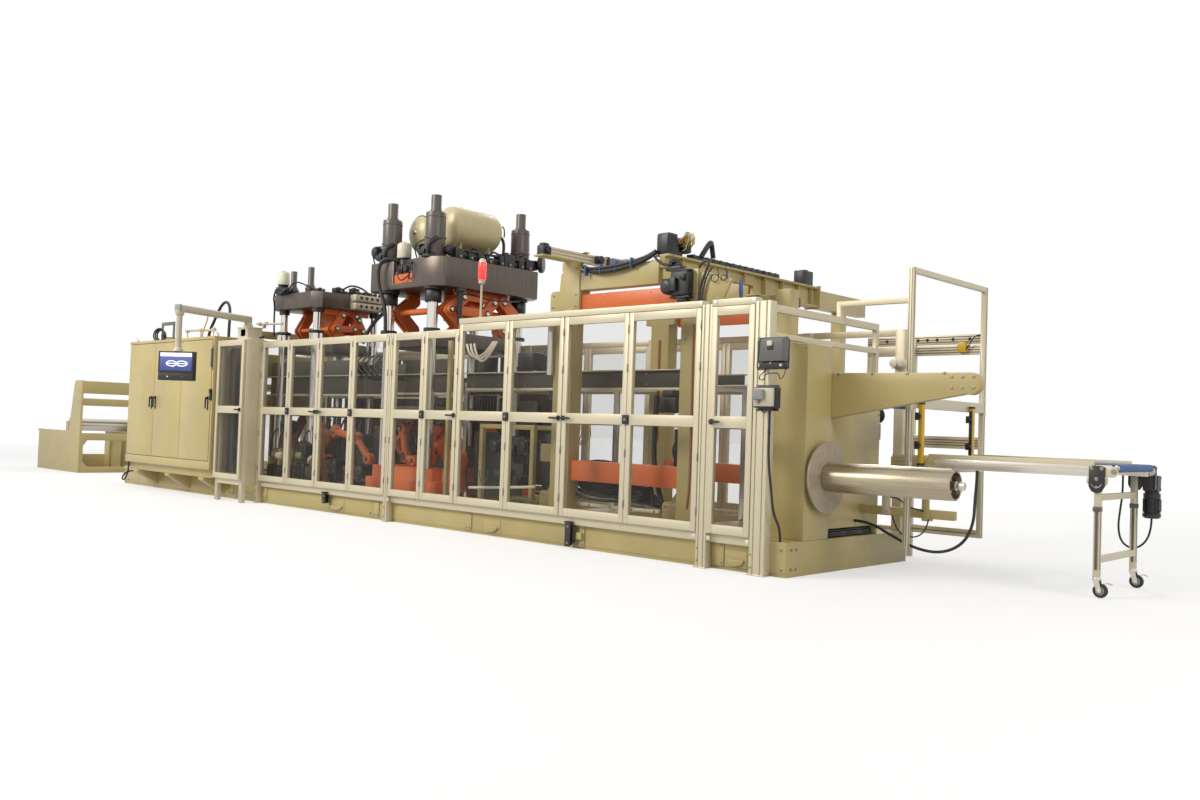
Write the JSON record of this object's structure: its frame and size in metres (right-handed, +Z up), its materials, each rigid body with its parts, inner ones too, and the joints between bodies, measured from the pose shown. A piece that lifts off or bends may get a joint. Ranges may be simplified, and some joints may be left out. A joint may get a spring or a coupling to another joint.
{
  "type": "thermoforming machine",
  "caption": "Inline plastic sheet thermoforming machine with unwind stand, guarded presses, stacking station, scrap rewinder and discharge conveyor.",
  "frame": {"origin": "centre of the underside of the machine base, on the floor", "axes": "+X along the line towards the discharge conveyor, +Y to the rear, +Z up"},
  "size_m": [19.171, 5.1966, 3.655],
  "materials": {
    "cream_paint": "satin",
    "guard_profile": "satin",
    "clear_pane": "gloss",
    "orange_paint": "satin",
    "dark_plate": "satin",
    "steel": "brushed",
    "cream_gloss": "gloss",
    "black_metal": "satin",
    "black_plastic": "matte",
    "blue_belt": "matte",
    "yellow": "gloss",
    "red_lamp": "gloss",
    "grey_box": "satin",
    "caster_rubber": "matte"
  },
  "bodies": {
    "root": {"air_tanks": "cream_gloss", "base_cable": "black_plastic", "bay_guard": "guard_profile", "box_cable": "black_plastic", "cabinet_hose": "black_plastic", "chain_rails": "guard_profile", "control_boxes": "grey_box", "control_cabinet": "cream_paint", "conveyor_belt": "blue_belt", "conveyor_drive": "black_metal", "conveyor_frame": "guard_profile", "conveyor_stand": "guard_profile", "crown_hydraulics": "black_metal", "discharge_guard": "guard_profile", "door_latches": "black_metal", "first_press_platens": "dark_plate", "first_press_toggles": "orange_paint", "folding_door_frames": "guard_profile", "forming_press_platens": "dark_plate", "forming_press_toggles": "orange_paint", "guard_panes": "clear_pane", "guard_posts": "guard_profile", "guard_rails": "guard_profile", "light_curtains": "yellow", "lower_cable": "black_plastic", "machine_base": "cream_paint", "motor_cable": "black_plastic", "oil_reservoirs": "cream_gloss", "press_cylinders": "dark_plate", "press_tie_bars": "steel", "rear_guard_frames": "guard_profile", "sheet_heater": "cream_paint", "signal_lamp": "red_lamp", "stacker_beams": "orange_paint", "stacker_castings": "cream_paint", "stacker_drives": "black_metal", "stacker_gantry": "cream_paint", "unwind_stand": "cream_paint", "winder_arm": "cream_paint", "winder_column": "cream_paint"},
    "cabinet_door_left": {"cabinet_door_left": "cream_paint"},
    "cabinet_door_middle": {"cabinet_door_middle": "cream_paint"},
    "cabinet_door_right": {"cabinet_door_right": "cream_paint"},
    "hmi_arm": {"hmi_arm": "cream_gloss"},
    "hmi_panel": {"hmi_panel": "black_metal"},
    "bay_door": {"bay_door": "guard_profile"},
    "end_door": {"end_door": "guard_profile"},
    "rewind_mandrel": {"rewind_mandrel": "steel", "mandrel_disc": "cream_paint"},
    "unwind_roll": {"unwind_roll": "steel"},
    "near_caster": {"near_caster_fork": "steel"},
    "near_wheel": {"near_caster_wheel": "caster_rubber"},
    "far_caster": {"far_caster_fork": "steel"},
    "far_wheel": {"far_caster_wheel": "caster_rubber"}
  },
  "joints": [
    {"name": "cabinet_door_left_hinge", "type": "hinge", "parent": "root", "child": "cabinet_door_left", "pos_m": [-5.226, -1.325, 1.3], "axis": [0, 0, 1], "range_deg": [-100, 0]},
    {"name": "cabinet_door_middle_hinge", "type": "hinge", "parent": "root", "child": "cabinet_door_middle", "pos_m": [-3.524, -1.325, 1.3], "axis": [0, 0, 1], "range_deg": [0, 85]},
    {"name": "cabinet_door_right_hinge", "type": "hinge", "parent": "root", "child": "cabinet_door_right", "pos_m": [-3.516, -1.325, 1.3], "axis": [0, 0, 1], "range_deg": [-85, 0]},
    {"name": "hmi_arm_swivel", "type": "hinge", "parent": "root", "child": "hmi_arm", "pos_m": [-2.01, -1.175, 2.35], "axis": [0, 0, 1], "range_deg": [-25, 45]},
    {"name": "hmi_panel_swivel", "type": "hinge", "parent": "hmi_arm", "child": "hmi_panel", "pos_m": [-1.494, -2.315, 2.1], "axis": [0, 0, 1], "range_deg": [-90, 90]},
    {"name": "bay_door_hinge", "type": "hinge", "parent": "root", "child": "bay_door", "pos_m": [-2.555, -1.296, 1.2], "axis": [0, 0, 1], "range_deg": [-95, 0]},
    {"name": "end_door_hinge", "type": "hinge", "parent": "root", "child": "end_door", "pos_m": [5.814, -1.071, 1.2], "axis": [0, 0, 1], "range_deg": [0, 100]},
    {"name": "mandrel_spin", "type": "hinge", "parent": "root", "child": "rewind_mandrel", "pos_m": [6.5, -0.49, 0.77], "axis": [1, 0, 0], "continuous": true},
    {"name": "unwind_spin", "type": "hinge", "parent": "root", "child": "unwind_roll", "pos_m": [-9.56, 0, 0.85], "axis": [0, 1, 0], "continuous": true},
    {"name": "near_caster_swivel", "type": "hinge", "parent": "root", "child": "near_caster", "pos_m": [7.985, 0.195, 0.14], "axis": [0, 0, 1], "continuous": true},
    {"name": "near_wheel_spin", "type": "hinge", "parent": "near_caster", "child": "near_wheel", "pos_m": [8.013, 0.195, 0.052], "axis": [0, 1, 0], "continuous": true},
    {"name": "far_caster_swivel", "type": "hinge", "parent": "root", "child": "far_caster", "pos_m": [7.985, 1.025, 0.14], "axis": [0, 0, 1], "continuous": true},
    {"name": "far_wheel_spin", "type": "hinge", "parent": "far_caster", "child": "far_wheel", "pos_m": [8.013, 1.025, 0.052], "axis": [0, 1, 0], "continuous": true}
  ]
}
